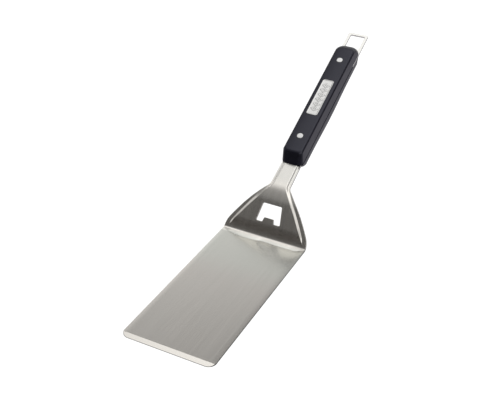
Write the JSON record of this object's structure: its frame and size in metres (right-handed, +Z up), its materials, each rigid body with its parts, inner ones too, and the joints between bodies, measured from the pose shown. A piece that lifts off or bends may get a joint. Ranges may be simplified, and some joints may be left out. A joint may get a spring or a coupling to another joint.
{
  "type": "grill spatula",
  "caption": "Long-handled grill spatula: bevelled steel blade, raised neck with a bottle opener, riveted black grip with a name plate, and a hanging loop.",
  "frame": {"origin": "middle of the flat underside of the blade", "axes": "+Z up out of the blade's top face, +Y along the tool from the blade towards the grip and the hanging loop, +X across the blade to complete a right-handed frame. The tool is symmetric about X = 0 and rests on the underside of its blade at Z = 0."},
  "size_m": [0.1, 0.4737, 0.1531],
  "materials": {
    "brushed_stainless": "brushed",
    "black_resin": "satin, fine-grained",
    "rivet_steel": "polished, slightly crowned",
    "plate_steel": "satin, with a raised border",
    "adhesive_foam": "matte"
  },
  "bodies": {
    "root": {"turner_blank": "brushed_stainless", "upper_scale": "black_resin", "lower_scale": "black_resin", "front_rivet_sleeve": "rivet_steel", "front_rivet_pin": "rivet_steel", "rear_rivet_sleeve": "rivet_steel", "rear_rivet_pin": "rivet_steel", "name_plate": "plate_steel", "plate_adhesive_pad": "adhesive_foam"}
  },
  "joints": []
}
